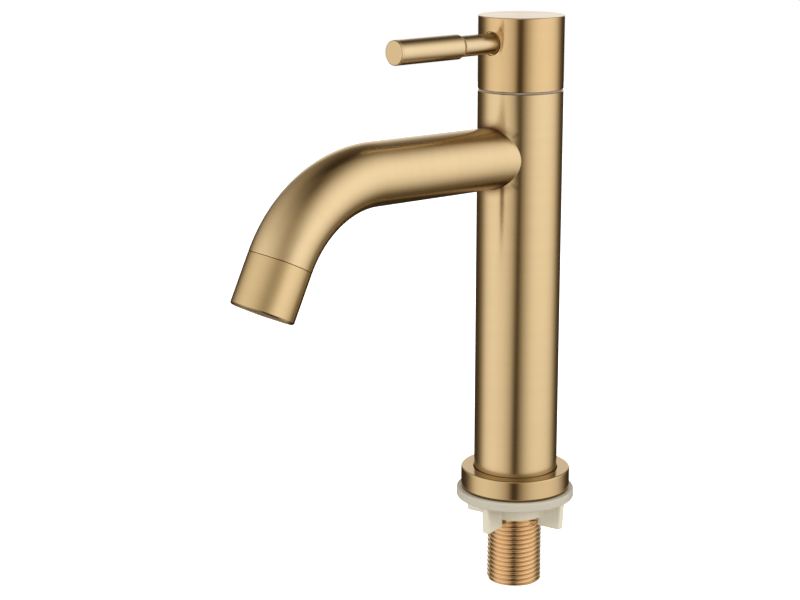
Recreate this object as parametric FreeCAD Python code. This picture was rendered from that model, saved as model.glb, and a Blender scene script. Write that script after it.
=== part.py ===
import FreeCAD, Part
import math
import os

os.makedirs("parts", exist_ok=True)

# A deck-mounted basin tap with one pin lever, in millimetres.
# The origin is the centre of the deck plane, under the base flange, on the axis of the shank.
# Z is up. The spout and the lever point along -Y, as the tap is photographed, with the water off.

# Column and foot
column_od = 32.0
column_wall = 1.5
column_top = 154.22
column_edge = 0.3
flange_od = 42.0
flange_height = 7.5
flange_edge = 0.45
flange_ledge = 2.0
seal_section = 1.7

# Spout, a bent round tube that is coped and welded to the column
spout_od = 23.0
spout_wall = 1.3
spout_drop = 24.57
spout_rise_deg = 0.76
spout_straight = 73.6
spout_bend_r = 46.0
spout_bend_deg = 64.5
column_port_d = 17.0

# Outlet shell and aerator
shell_length = 18.6
shell_mouth_wall = 1.1
shell_mouth_depth = 9.0
shell_ledge_step = 1.5
shell_spigot_length = 2.5
shell_edge = 0.5
aerator_recess = 0.3
aerator_plate = 1.5
aerator_wall = 1.1
aerator_hole_d = 1.5
aerator_hole_pitch = 2.3
screen_thickness = 0.6
screen_rim = 1.0
screen_hole_d = 0.9
screen_hole_pitch = 1.9
outlet_washer_thickness = 1.5
outlet_washer_lip = 0.4

# Threaded shank, a half inch pipe thread
thread_major_d = 20.955
thread_pitch = 1.8143
thread_depth = 1.162
thread_flank_deg = 27.5
thread_turns = 19
runout_turns = 5
runout_drop = 0.2
shank_bottom = -38.7
shank_band_drop = 0.3
shank_band_height = 1.19
shank_chamfer = 0.8
shank_bore_d = 13.0
shank_spigot_drop = 0.48
shank_spigot_length = 10.0

# Clamp washer and winged back nut
washer_od = 45.4
washer_thickness = 4.2
washer_edge = 0.3
washer_clearance = 0.8
nut_wall = 2.4
nut_hub_height = 6.8
nut_wing_count = 4
nut_wing_setback = 1.0
nut_wing_gap = 0.8
nut_wing_thickness = 3.1
nut_wing_height = 10.3
nut_wing_lean = 0.6
nut_wing_round = 0.9
nut_phase_deg = 12.86

# Handle
handle_travel_deg = 90.0
hub_height = 26.93
hub_wall = 1.8
hub_roof = 3.0
hub_edge = 0.35
hub_boss_d = 20.0
hub_boss_setback = 9.13
lever_drop = 9.54
lever_rod_d = 7.6
lever_rod_length = 15.5
lever_rod_relief = 0.6
lever_rod_relief_depth = 0.9
lever_stud_d = 5.0
lever_core_d = 5.0
lever_core_length = 24.0
grip_d = 9.0
grip_length = 32.1
grip_taper = 1.6
grip_outer_round = 1.3
grub_screw_setback = 4.0
grub_screw_d = 5.0
grub_screw_length = 6.0
grub_socket_af = 2.5
grub_socket_depth = 2.4

# Trim ring between the column and the hub
trim_ring_recess = 0.45
trim_ring_height = 0.55
trim_skirt_wall = 1.0

# Waterway inside the column
base_insert_height = 22.0
insert_orifice_d = 12.4
riser_od = 14.0
riser_wall = 1.0
riser_socket_depth = 6.0
riser_ring_section = 1.5
riser_ring_setback = 3.0
shank_seal_thickness = 1.5
shank_seal_lip = 0.3
block_setback = 4.22
chamber_depth = 30.0
chamber_gap = 0.6
seat_orifice_d = 10.0
seat_wall = 2.1
block_port_d = 15.0
block_ring_section = 1.6
block_ring_offset = 11.0

# Quarter-turn ceramic cartridge
cartridge_thread_d = 22.0
cartridge_thread_length = 9.5
cartridge_wall = 1.3
cartridge_floor_gap = 0.3
cartridge_hex_af = 22.0
cartridge_hex_height = 6.5
window_width = 9.0
window_height = 5.0
stop_rib_depth = 1.4
stop_margin_deg = 0.3
seat_seal_thickness = 2.2
seat_seal_wall = 2.4
disc_d = 15.2
disc_thickness = 3.0
disc_port_outer_r = 6.2
disc_port_inner_r = 2.0
disc_port_deg = 60.0
disc_ear_width = 2.4
disc_ear_reach = 0.9

# Spindle
spindle_d = 8.0
spindle_shoulder_d = 12.0
spindle_shoulder_height = 2.3
foot_length = 14.2
foot_width = 6.0
foot_thickness = 2.5
peg_d = 2.4
peg_depth = 1.3
peg_r = 5.3
thrust_washer_thickness = 0.6
spindle_ring_section = 1.2
spindle_ring_pitch = 5.0
clip_thickness = 0.8
clip_d = 12.0
clip_groove_depth = 0.6
spline_teeth = 20
spline_tip_d = 7.9
spline_root_d = 6.9
spline_length = 11.5
spline_end_gap = 2.0
spline_bush_d = 12.0

# Clearances, and how far a cutting shape runs past the piece that it cuts
weld_gap = 0.02
shaft_gap = 0.04
slip = 0.05
running_gap = 0.1
ring_squeeze = 0.03
overcut = 1.0

# Column and spout places
column_r = column_od / 2
column_bore_r = column_r - column_wall
plug_r = column_bore_r - running_gap
seal_ring_r = (column_r + flange_od / 2) / 2
spout_axis_z = column_top - spout_drop
spout_r = spout_od / 2
spout_bore_r = spout_r - spout_wall
shell_mouth_r = spout_r - shell_mouth_wall
shell_ledge_r = shell_mouth_r - shell_ledge_step
aerator_r = shell_mouth_r - slip
aerator_bore_r = aerator_r - aerator_wall
aerator_top = shell_mouth_depth - outlet_washer_thickness

# Shank and nut places
thread_major_r = thread_major_d / 2
thread_root_r = thread_major_r - thread_depth
thread_bottom = shank_bottom + shank_band_height
thread_top = thread_bottom + thread_turns * thread_pitch
shank_bore_r = shank_bore_d / 2
shank_spigot_r = thread_major_r - shank_spigot_drop
shank_top = flange_ledge + shank_spigot_length
insert_seat = shank_top + shank_seal_thickness
insert_top = flange_ledge + base_insert_height
washer_r = washer_od / 2
nut_bore_r = thread_major_r + running_gap

# Waterway places
block_top = column_top - block_setback
chamber_floor = block_top - chamber_depth
riser_r = riser_od / 2
riser_socket_r = riser_r + slip
riser_bottom = insert_top - riser_socket_depth
riser_top = chamber_floor - seat_wall
block_bottom = riser_top - riser_socket_depth
riser_ring_rows = (insert_top - riser_ring_setback, block_bottom + riser_ring_setback)
block_ring_rows = (spout_axis_z - block_ring_offset, spout_axis_z + block_ring_offset)

# Cartridge and spindle places, from the chamber's floor up
cage_bore_r = disc_d / 2 + running_gap
cage_r = cage_bore_r + cartridge_wall
cage_bottom = chamber_floor + cartridge_floor_gap
thread_start = block_top - cartridge_thread_length
fixed_disc_bottom = chamber_floor + seat_seal_thickness
moving_disc_bottom = fixed_disc_bottom + disc_thickness
moving_disc_top = moving_disc_bottom + disc_thickness
foot_bottom = moving_disc_top + running_gap
foot_top = foot_bottom + foot_thickness
foot_rest_deg = (180 - handle_travel_deg) / 2
stop_rib_r = cage_bore_r - stop_rib_depth
stop_rib_half_deg = foot_rest_deg - math.degrees(math.asin(foot_width / 2 / stop_rib_r)) - stop_margin_deg
shoulder_top = foot_top + spindle_shoulder_height
thrust_washer_bottom = shoulder_top + slip
cavity_top = thrust_washer_bottom + thrust_washer_thickness + slip
spindle_r = spindle_d / 2
spindle_bore_r = spindle_r + shaft_gap
spindle_ring_rows = (cavity_top + spindle_ring_pitch, cavity_top + 2 * spindle_ring_pitch)
cartridge_top = block_top + cartridge_hex_height
clip_bottom = cartridge_top + running_gap
clip_groove_r = spindle_r - clip_groove_depth
spline_bottom = clip_bottom + clip_thickness + running_gap

# Handle places
trim_top = column_top + trim_ring_height
hub_bottom = trim_top + running_gap
hub_top = hub_bottom + hub_height
hub_r = column_r
hub_bore_r = hub_r - hub_wall
hub_roof_bottom = hub_top - hub_roof
boss_r = hub_boss_d / 2
boss_bottom = hub_bottom + hub_boss_setback
spline_bush_r = spline_bush_d / 2
spline_bush_top = boss_bottom + spline_length
spline_top = spline_bush_top - spline_end_gap
grub_screw_z = boss_bottom + grub_screw_setback
lever_z = hub_top - lever_drop
lever_rod_r = lever_rod_d / 2
lever_stud_r = lever_stud_d / 2
lever_core_r = lever_core_d / 2
grip_start = hub_r + lever_rod_length
grip_r = grip_d / 2

x_axis = FreeCAD.Vector(1, 0, 0)
z_axis = FreeCAD.Vector(0, 0, 1)


def point(x, y, z):
    return FreeCAD.Vector(x, y, z)


def rod(radius, bottom, top):
    """A round bar on the Z axis."""
    return Part.makeCylinder(radius, top - bottom, point(0, 0, bottom))


def tube(outer_r, inner_r, bottom, top):
    """A round tube on the Z axis."""
    return rod(outer_r, bottom, top).cut(rod(inner_r, bottom - overcut, top + overcut))


def turned(outline):
    """A turned piece: a closed outline of (radius, height) points, spun about the Z axis."""
    corners = [point(radius, 0, height) for radius, height in outline]
    face = Part.Face(Part.makePolygon(corners + [corners[0]]))
    return face.revolve(point(0, 0, 0), z_axis, 360)


def radial_rod(radius, start, end, height, angle_deg=-90.0):
    """A round bar that points away from the Z axis, from one distance to another."""
    bar = Part.makeCylinder(radius, end - start, point(start, 0, height), x_axis)
    bar.rotate(point(0, 0, 0), z_axis, angle_deg)
    return bar


def seal(ring_r, section, height):
    """An O-ring round the Z axis."""
    return Part.makeTorus(ring_r, section / 2, point(0, 0, height))


def sector(radius, bottom, top, middle_deg, half_deg):
    """A wedge of a round bar, centred on one direction."""
    wedge = Part.makeCylinder(radius, top - bottom, point(0, 0, bottom), z_axis, 2 * half_deg)
    wedge.rotate(point(0, 0, 0), z_axis, middle_deg - half_deg)
    return wedge


def hexagon(across_flats, bottom, top):
    """A six-sided bar on the Z axis."""
    corner_r = across_flats / math.sqrt(3)
    corners = []
    for index in range(7):
        angle = math.radians(60 * index)
        corners.append(point(corner_r * math.cos(angle), corner_r * math.sin(angle), bottom))
    return Part.Face(Part.makePolygon(corners)).extrude(point(0, 0, top - bottom))


def spline_bar(tip_r, root_r, bottom, top):
    """A toothed bar on the Z axis, with the same number of teeth as the spindle."""
    corners = []
    for index in range(2 * spline_teeth + 1):
        radius = root_r if index % 2 else tip_r
        angle = math.radians(180.0 * index / spline_teeth)
        corners.append(point(radius * math.cos(angle), radius * math.sin(angle), bottom))
    return Part.Face(Part.makePolygon(corners)).extrude(point(0, 0, top - bottom))


def hole_grid(hole_d, pitch, limit_r, bottom, top):
    """Round holes in rows, each row shifted by half a pitch, as far out as the limit allows."""
    holes = []
    row_pitch = pitch * math.sqrt(3) / 2
    rows = int(limit_r / row_pitch) + 1
    for row in range(-rows, rows + 1):
        for column in range(-rows - 1, rows + 2):
            x = (column + 0.5 * (row % 2)) * pitch
            y = row * row_pitch
            if math.hypot(x, y) + hole_d / 2 <= limit_r:
                holes.append(Part.makeCylinder(hole_d / 2, top - bottom, point(x, y, bottom)))
    return Part.makeCompound(holes)


def spout_direction(angle_deg):
    """The direction of the spout's centre line, turned down from its first straight run."""
    angle = math.radians(spout_rise_deg - angle_deg)
    return point(0, -math.cos(angle), math.sin(angle))


bend_start = point(0, 0, spout_axis_z) + spout_direction(0) * spout_straight
bend_centre = bend_start + spout_direction(90) * spout_bend_r
bend_end = bend_centre - spout_direction(spout_bend_deg + 90) * spout_bend_r
outlet_direction = spout_direction(spout_bend_deg)
outlet_centre = bend_end + outlet_direction * shell_length


def spout_solid(radius, start):
    """The straight run from a distance off the column's axis, with the bend, at one radius."""
    first = point(0, 0, spout_axis_z) + spout_direction(0) * start
    straight = Part.makeCylinder(radius, spout_straight - start, first, spout_direction(0))
    circle = Part.Wire(Part.makeCircle(radius, bend_start, spout_direction(0)))
    bend = Part.Face(circle).revolve(bend_centre, x_axis, spout_bend_deg)
    return straight.fuse(bend).removeSplitter()


def at_outlet(shape):
    """Moves a piece drawn on the Z axis, mouth down at height zero, to the end of the spout."""
    tilt = math.degrees(math.atan2(-outlet_direction.z, -outlet_direction.y)) - 90
    shape.Placement = FreeCAD.Placement(outlet_centre, FreeCAD.Rotation(x_axis, tilt))
    return shape


def make_column():
    """The upright tube. Its top edge has a fine chamfer, which shows as a bright line."""
    body = turned([
        (column_bore_r, flange_ledge),
        (column_r, flange_ledge),
        (column_r, column_top - column_edge),
        (column_r - column_edge, column_top),
        (column_bore_r, column_top),
    ])
    return body.cut(radial_rod(column_port_d / 2, 0, column_od, spout_axis_z))


def make_base_flange():
    """The foot ring. The column stands on its inner ledge, and its underside holds a seal."""
    outer_r = flange_od / 2
    body = turned([
        (nut_bore_r, 0),
        (outer_r - flange_edge, 0),
        (outer_r, flange_edge),
        (outer_r, flange_height - flange_edge),
        (outer_r - flange_edge, flange_height),
        (column_r + slip, flange_height),
        (column_r + slip, flange_ledge),
        (nut_bore_r, flange_ledge),
    ])
    groove_half = seal_section / 2 + running_gap
    groove = tube(seal_ring_r + groove_half, seal_ring_r - groove_half, -overcut, seal_section)
    return body.cut(groove)


def make_flange_seal():
    return seal(seal_ring_r, seal_section - ring_squeeze, seal_section / 2)


def make_spout_tube():
    """The bent tube. Its inner end is coped to the column, where it is welded all round."""
    body = spout_solid(spout_r, overcut).cut(spout_solid(spout_bore_r, 0))
    return body.cut(rod(column_r + weld_gap, 0, hub_top))


def make_outlet_shell():
    """The short end tube of the spout. A spigot joins it to the bend, and its mouth holds the aerator."""
    spigot_r = spout_bore_r - running_gap
    return at_outlet(turned([
        (shell_mouth_r, 0),
        (spout_r - shell_edge, 0),
        (spout_r, shell_edge),
        (spout_r, shell_length - slip),
        (spigot_r, shell_length - slip),
        (spigot_r, shell_length + shell_spigot_length),
        (shell_ledge_r, shell_length + shell_spigot_length),
        (shell_ledge_r, shell_mouth_depth),
        (shell_mouth_r, shell_mouth_depth),
    ]))


def make_aerator_cage():
    """The plastic cup in the mouth, with a plate of small holes that the water leaves by."""
    cup = rod(aerator_r, aerator_recess, aerator_top)
    cup = cup.cut(rod(aerator_bore_r, aerator_recess + aerator_plate, aerator_top + overcut))
    holes = hole_grid(aerator_hole_d, aerator_hole_pitch, aerator_bore_r, 0, shell_mouth_depth)
    return at_outlet(cup.cut(holes))


def make_aerator_screen():
    """The fine strainer disc that rests inside the cup."""
    outer_r = aerator_bore_r - slip
    plate = rod(outer_r, aerator_top - screen_thickness, aerator_top)
    holes = hole_grid(screen_hole_d, screen_hole_pitch, outer_r - screen_rim, 0, shell_mouth_depth)
    return at_outlet(plate.cut(holes))


def make_outlet_washer():
    """The rubber ring between the aerator and the shell's ledge."""
    inner_r = shell_ledge_r - outlet_washer_lip
    return at_outlet(tube(aerator_r, inner_r, aerator_top, shell_mouth_depth))


def thread_outline():
    """Crests and roots of the thread, from its lower end up. The top turns run out a little lower."""
    flank = thread_depth * math.tan(math.radians(thread_flank_deg))
    crest = (thread_pitch - 2 * flank) / 2
    outline = []
    for turn in range(thread_turns):
        foot = thread_bottom + turn * thread_pitch
        crest_r = thread_major_r
        if turn >= thread_turns - runout_turns:
            crest_r -= runout_drop
        outline += [
            (thread_root_r, foot + crest / 2),
            (crest_r, foot + crest / 2 + flank),
            (crest_r, foot + 3 * crest / 2 + flank),
            (thread_root_r, foot + 3 * crest / 2 + 2 * flank),
        ]
    return outline


def make_threaded_shank():
    """The hollow tail. It passes through the deck, takes the back nut and the water supply."""
    band_r = thread_major_r - shank_band_drop
    outline = [
        (shank_bore_r, shank_bottom),
        (band_r - shank_chamfer, shank_bottom),
        (band_r, shank_bottom + shank_chamfer),
        (band_r, thread_bottom),
    ]
    outline += thread_outline()
    outline += [
        (thread_root_r, flange_ledge),
        (shank_spigot_r, flange_ledge),
        (shank_spigot_r, shank_top),
        (shank_bore_r, shank_top),
    ]
    return turned(outline)


def make_shank_seal():
    return tube(shank_spigot_r, shank_bore_r + shank_seal_lip, shank_top, insert_seat)


def riser_groove(middle):
    """The room for a riser seal, round the riser's socket."""
    half = riser_ring_section / 2 + running_gap
    return rod(riser_socket_r + riser_ring_section, middle - half, middle + half)


def make_base_insert():
    """The brass plug in the column's foot. The shank screws in below, and the riser stands in it."""
    body = rod(plug_r, flange_ledge, insert_top)
    cuts = [
        rod(shank_spigot_r + slip, flange_ledge - overcut, insert_seat),
        rod(insert_orifice_d / 2, insert_seat - overcut, insert_top),
        rod(riser_socket_r, riser_bottom, insert_top + overcut),
        riser_groove(riser_ring_rows[0]),
    ]
    return body.cut(cuts)


def make_riser_tube():
    return tube(riser_r, riser_r - riser_wall, riser_bottom, riser_top)


def make_riser_seals():
    ring_r = riser_socket_r + riser_ring_section / 2
    section = riser_ring_section - ring_squeeze
    return Part.makeCompound([seal(ring_r, section, middle) for middle in riser_ring_rows])


def make_valve_block():
    """The brass block that the cartridge screws into. Its side port feeds the spout."""
    body = rod(plug_r, block_bottom, block_top)
    cuts = [
        rod(riser_socket_r, block_bottom - overcut, riser_top),
        riser_groove(riser_ring_rows[1]),
        rod(seat_orifice_d / 2, riser_top - overcut, chamber_floor + overcut),
        rod(cage_r + chamber_gap, chamber_floor, thread_start + overcut),
        rod(cartridge_thread_d / 2 + slip, thread_start, block_top + overcut),
        radial_rod(block_port_d / 2, 0, column_r, spout_axis_z),
    ]
    half = block_ring_section / 2 + running_gap
    groove_r = column_bore_r - block_ring_section
    for middle in block_ring_rows:
        cuts.append(tube(plug_r + overcut, groove_r, middle - half, middle + half))
    return body.cut(cuts)


def make_block_seals():
    ring_r = column_bore_r - block_ring_section / 2
    section = block_ring_section - ring_squeeze
    return Part.makeCompound([seal(ring_r, section, middle) for middle in block_ring_rows])


def make_trim_ring():
    """The grey ring in the joint under the hub, with a skirt that keeps it centred in the column."""
    skirt_r = column_bore_r - slip
    return turned([
        (skirt_r - trim_skirt_wall, block_top),
        (skirt_r, block_top),
        (skirt_r, column_top),
        (column_r - trim_ring_recess, column_top),
        (column_r - trim_ring_recess, trim_top),
        (skirt_r - trim_skirt_wall, trim_top),
    ])


def make_cartridge_body():
    """The brass headwork: a cage round the discs, a thread, a hexagon and the spindle's bore."""
    body = rod(cage_r, cage_bottom, thread_start)
    body = body.fuse(rod(cartridge_thread_d / 2, thread_start, block_top))
    body = body.fuse(hexagon(cartridge_hex_af, block_top, cartridge_top))
    cuts = [
        rod(cage_bore_r, cage_bottom - overcut, cavity_top),
        rod(spindle_bore_r, cavity_top - overcut, cartridge_top + overcut),
    ]
    window = Part.makeBox(
        window_width,
        2 * cartridge_thread_d,
        window_height,
        point(-window_width / 2, -cartridge_thread_d, moving_disc_top),
    )
    slot_width = disc_ear_width + 2 * running_gap
    slot = Part.makeBox(
        2 * cage_r,
        slot_width,
        moving_disc_bottom - cage_bottom,
        point(-cage_r, -slot_width / 2, cage_bottom),
    )
    body = body.cut(cuts + [window, slot])
    for middle_deg in (0, 180):
        rib = sector(cage_bore_r + slip, foot_bottom, foot_top, middle_deg, stop_rib_half_deg)
        body = body.fuse(rib.cut(rod(stop_rib_r, foot_bottom - overcut, foot_top + overcut)))
    return body.removeSplitter()


def make_seat_seal():
    outer_r = cage_bore_r - slip
    return tube(outer_r, outer_r - seat_seal_wall, chamber_floor, fixed_disc_bottom)


def disc_ports(bottom, top, middle_deg):
    """Two facing openings through a ceramic disc."""
    low = bottom - overcut
    high = top + overcut
    core = rod(disc_port_inner_r, low - overcut, high + overcut)
    ports = []
    for turn in (0, 180):
        wedge = sector(disc_port_outer_r, low, high, middle_deg + turn, disc_port_deg / 2)
        ports.append(wedge.cut(core))
    return ports


def make_fixed_disc():
    """The lower ceramic disc. Two ears key it to the cage."""
    ear_length = 2 * (cage_bore_r + disc_ear_reach)
    ears = Part.makeBox(
        ear_length,
        disc_ear_width,
        disc_thickness - running_gap,
        point(-ear_length / 2, -disc_ear_width / 2, fixed_disc_bottom),
    )
    body = rod(disc_d / 2, fixed_disc_bottom, moving_disc_bottom).fuse(ears)
    return body.cut(disc_ports(fixed_disc_bottom, moving_disc_bottom, 0))


def peg_places():
    angle = math.radians(foot_rest_deg)
    reach = point(peg_r * math.cos(angle), peg_r * math.sin(angle), 0)
    return (reach, reach * -1)


def make_moving_disc():
    """The upper ceramic disc. Its openings lie over the solid parts of the lower one at rest."""
    body = rod(disc_d / 2, moving_disc_bottom, moving_disc_top)
    body = body.cut(disc_ports(moving_disc_bottom, moving_disc_top, 90))
    sockets = []
    for place in peg_places():
        base = place + point(0, 0, moving_disc_top - peg_depth - running_gap)
        sockets.append(Part.makeCylinder(peg_d / 2 + slip, disc_thickness, base))
    return body.cut(sockets)


def make_spindle():
    """The brass spindle, from the foot that turns the upper disc to the splined top."""
    foot = Part.makeBox(
        foot_length,
        foot_width,
        foot_thickness,
        point(-foot_length / 2, -foot_width / 2, foot_bottom),
    )
    foot.rotate(point(0, 0, 0), z_axis, foot_rest_deg)
    foot = foot.common(rod(foot_length / 2, foot_bottom, foot_top))
    pieces = [
        rod(spindle_shoulder_d / 2, foot_top, shoulder_top),
        rod(spindle_r, shoulder_top, spline_bottom),
        spline_bar(spline_tip_d / 2, spline_root_d / 2, spline_bottom, spline_top),
    ]
    for place in peg_places():
        base = place + point(0, 0, moving_disc_top - peg_depth)
        pieces.append(Part.makeCylinder(peg_d / 2, peg_depth + foot_thickness, base))
    body = foot.fuse(pieces)
    outer_r = spindle_r + overcut
    groove_r = spindle_bore_r - spindle_ring_section
    half = spindle_ring_section / 2 + running_gap
    clip_top = clip_bottom + clip_thickness
    grooves = [tube(outer_r, groove_r, middle - half, middle + half) for middle in spindle_ring_rows]
    grooves.append(tube(outer_r, clip_groove_r, clip_bottom - slip, clip_top + slip))
    return body.cut(grooves)


def make_spindle_seals():
    ring_r = spindle_bore_r - spindle_ring_section / 2
    section = spindle_ring_section - ring_squeeze
    return Part.makeCompound([seal(ring_r, section, middle) for middle in spindle_ring_rows])


def make_thrust_washer():
    top = thrust_washer_bottom + thrust_washer_thickness
    return tube(spindle_shoulder_d / 2, spindle_r + slip, thrust_washer_bottom, top)


def make_spindle_clip():
    """The open spring ring that keeps the spindle down in the cartridge."""
    inner_r = clip_groove_r + slip
    ring = tube(clip_d / 2, inner_r, clip_bottom, clip_bottom + clip_thickness)
    mouth = Part.makeBox(
        clip_d,
        inner_r,
        clip_thickness,
        point(0, -inner_r / 2, clip_bottom),
    )
    return ring.cut(mouth)


def make_handle_hub():
    """The turning cap. A boss inside takes the spindle, the lever's stud and the grub screw."""
    shell = turned([
        (0, hub_roof_bottom),
        (hub_bore_r, hub_roof_bottom),
        (hub_bore_r, hub_bottom),
        (hub_r - hub_edge, hub_bottom),
        (hub_r, hub_bottom + hub_edge),
        (hub_r, hub_top - hub_edge),
        (hub_r - hub_edge, hub_top),
        (0, hub_top),
    ])
    body = shell.fuse(rod(boss_r, boss_bottom, hub_roof_bottom))
    past_hub = hub_r + overcut
    relief_start = hub_r - lever_rod_relief_depth
    screw_r = grub_screw_d / 2 + slip
    cuts = [
        rod(spline_bush_r + slip, boss_bottom - overcut, spline_bush_top + slip),
        radial_rod(lever_stud_r + slip, spline_bush_r - overcut, boss_r + overcut, lever_z),
        radial_rod(lever_rod_r + running_gap, (boss_r + hub_bore_r) / 2, past_hub, lever_z),
        radial_rod(lever_rod_r + lever_rod_relief, relief_start, past_hub, lever_z),
        radial_rod(screw_r, spline_bush_r - overcut, past_hub, grub_screw_z, 90),
    ]
    return body.cut(cuts).removeSplitter()


def make_spline_bush():
    """The plastic sleeve between the spindle's teeth and the hub's boss."""
    body = rod(spline_bush_r, boss_bottom, spline_bush_top)
    tip_r = spline_tip_d / 2 + slip
    root_r = spline_root_d / 2 + slip
    return body.cut(spline_bar(tip_r, root_r, boss_bottom - overcut, spline_top + slip))


def make_lever_rod():
    """The lever's bar. A stud at its inner end screws into the boss, and a core carries the grip."""
    core_end = grip_start + lever_core_length
    pieces = [
        radial_rod(lever_stud_r, spline_bush_r + running_gap, boss_r + overcut, lever_z),
        radial_rod(lever_core_r, grip_start - overcut, core_end, lever_z),
    ]
    body = radial_rod(lever_rod_r, boss_r + slip, grip_start, lever_z).fuse(pieces)
    return body.removeSplitter()


def make_lever_grip():
    """The thicker outer bar. It tapers down to the rod at its inner end and has a rounded tip."""
    body = turned([
        (0, 0),
        (lever_rod_r, 0),
        (grip_r, grip_taper),
        (grip_r, grip_length),
        (0, grip_length),
    ])
    tip = [
        edge for edge in body.Edges
        if edge.BoundBox.ZMin > grip_length - slip and edge.BoundBox.XLength > grip_r
    ]
    body = body.makeFillet(grip_outer_round, tip)
    body = body.cut(rod(lever_core_r + slip, -overcut, lever_core_length + running_gap))
    body.Placement = FreeCAD.Placement(
        point(0, -grip_start, lever_z),
        FreeCAD.Rotation(x_axis, 90),
    )
    return body


def make_grub_screw():
    """The screw at the back of the hub that grips the spline bush. It has a hexagon socket."""
    body = rod(grub_screw_d / 2, 0, grub_screw_length)
    socket_bottom = grub_screw_length - grub_socket_depth
    body = body.cut(hexagon(grub_socket_af, socket_bottom, grub_screw_length + overcut))
    body.Placement = FreeCAD.Placement(
        point(0, spline_bush_r + slip, grub_screw_z),
        FreeCAD.Rotation(x_axis, -90),
    )
    return body


def make_clamp_washer():
    """The white plastic disc that bears on the underside of the deck."""
    hole_r = thread_major_r + washer_clearance
    return turned([
        (hole_r, -washer_thickness),
        (washer_r - washer_edge, -washer_thickness),
        (washer_r, washer_edge - washer_thickness),
        (washer_r, -washer_edge),
        (washer_r - washer_edge, 0),
        (hole_r, 0),
    ])


def nut_wing(angle_deg):
    """One flat wing of the back nut. Its outer end leans in towards the bottom, with rounded corners."""
    start = nut_bore_r + nut_wing_gap
    end = washer_r - nut_wing_setback
    top = -washer_thickness
    low = top - nut_wing_height
    side = -nut_wing_thickness / 2
    outline = [(start, low), (end - nut_wing_lean, low), (end, top), (start, top), (start, low)]
    face = Part.Face(Part.makePolygon([point(x, side, z) for x, z in outline]))
    wing = face.extrude(point(0, nut_wing_thickness, 0))
    tip = [
        edge for edge in wing.Edges
        if edge.BoundBox.XMin > start and edge.BoundBox.ZLength > nut_wing_thickness
    ]
    wing = wing.makeFillet(nut_wing_round, tip)
    wing.rotate(point(0, 0, 0), z_axis, angle_deg)
    return wing


def make_back_nut():
    """The winged plastic nut. Its wings reach below its hub, so that fingers can turn it."""
    top = -washer_thickness
    body = tube(nut_bore_r + nut_wall, nut_bore_r, top - nut_hub_height, top)
    for index in range(nut_wing_count):
        body = body.fuse(nut_wing(nut_phase_deg + 360.0 * index / nut_wing_count))
    return body.removeSplitter()


pieces = {
    "column": make_column,
    "base_flange": make_base_flange,
    "flange_seal": make_flange_seal,
    "spout_tube": make_spout_tube,
    "outlet_shell": make_outlet_shell,
    "aerator_cage": make_aerator_cage,
    "aerator_screen": make_aerator_screen,
    "outlet_washer": make_outlet_washer,
    "threaded_shank": make_threaded_shank,
    "shank_seal": make_shank_seal,
    "base_insert": make_base_insert,
    "riser_tube": make_riser_tube,
    "riser_seals": make_riser_seals,
    "valve_block": make_valve_block,
    "block_seals": make_block_seals,
    "trim_ring": make_trim_ring,
    "cartridge_body": make_cartridge_body,
    "seat_seal": make_seat_seal,
    "fixed_disc": make_fixed_disc,
    "moving_disc": make_moving_disc,
    "spindle": make_spindle,
    "spindle_seals": make_spindle_seals,
    "thrust_washer": make_thrust_washer,
    "spindle_clip": make_spindle_clip,
    "handle_hub": make_handle_hub,
    "spline_bush": make_spline_bush,
    "lever_rod": make_lever_rod,
    "lever_grip": make_lever_grip,
    "grub_screw": make_grub_screw,
    "clamp_washer": make_clamp_washer,
    "back_nut": make_back_nut,
}

for name, make in pieces.items():
    shape = make()
    shape.exportStep(f"parts/{name}.step")
    print(f"{name}: {len(shape.Solids)} solid, {shape.Volume:.1f} mm3")
print(f"outlet centre {outlet_centre.y:.3f}, {outlet_centre.z:.3f}")
print(f"outlet direction {outlet_direction.y:.5f}, {outlet_direction.z:.5f}")
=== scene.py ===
# %% [markdown]
# # A brushed gold basin tap
#
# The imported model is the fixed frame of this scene: it says where every part of the tap is and how it
# moves. Nothing here changes a size. Each outer part gets a surface of its own, fine enough for soft
# reflections, and each part inside keeps its solid and gets a material. Lengths below are in
# millimetres, because that is how a tap is drawn, and one value turns them into Blender's metres.

# %% Load the frame
import math

import bpy
import numpy as np
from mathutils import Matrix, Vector


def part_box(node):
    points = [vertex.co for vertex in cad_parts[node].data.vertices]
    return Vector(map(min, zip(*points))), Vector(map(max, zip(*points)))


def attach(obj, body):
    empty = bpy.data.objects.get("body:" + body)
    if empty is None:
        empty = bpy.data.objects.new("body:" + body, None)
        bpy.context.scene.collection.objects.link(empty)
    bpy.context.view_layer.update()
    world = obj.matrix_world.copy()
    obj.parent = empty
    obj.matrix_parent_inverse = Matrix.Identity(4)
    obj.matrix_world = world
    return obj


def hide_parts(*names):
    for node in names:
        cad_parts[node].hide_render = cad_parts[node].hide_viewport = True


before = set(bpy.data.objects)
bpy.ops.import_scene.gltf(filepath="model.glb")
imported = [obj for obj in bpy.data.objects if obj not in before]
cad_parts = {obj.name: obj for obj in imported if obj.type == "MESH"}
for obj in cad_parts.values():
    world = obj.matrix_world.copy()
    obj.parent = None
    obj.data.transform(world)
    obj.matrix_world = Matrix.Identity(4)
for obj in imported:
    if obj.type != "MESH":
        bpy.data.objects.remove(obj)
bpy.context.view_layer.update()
MM = 0.001


def box_mm(node):
    """The low and the high corner of a solid's box, in millimetres."""
    return np.array(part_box(node)) / MM

# %% [markdown]
# ## The camera
#
# The tap was photographed from a little above, from its right-hand front, so that the spout and the
# lever point to the left. A long lens keeps the column's sides nearly parallel. The height of the
# camera shows in the rings: the hub's top is seen almost edge-on, and the foot's ring as a wide oval.

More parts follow.
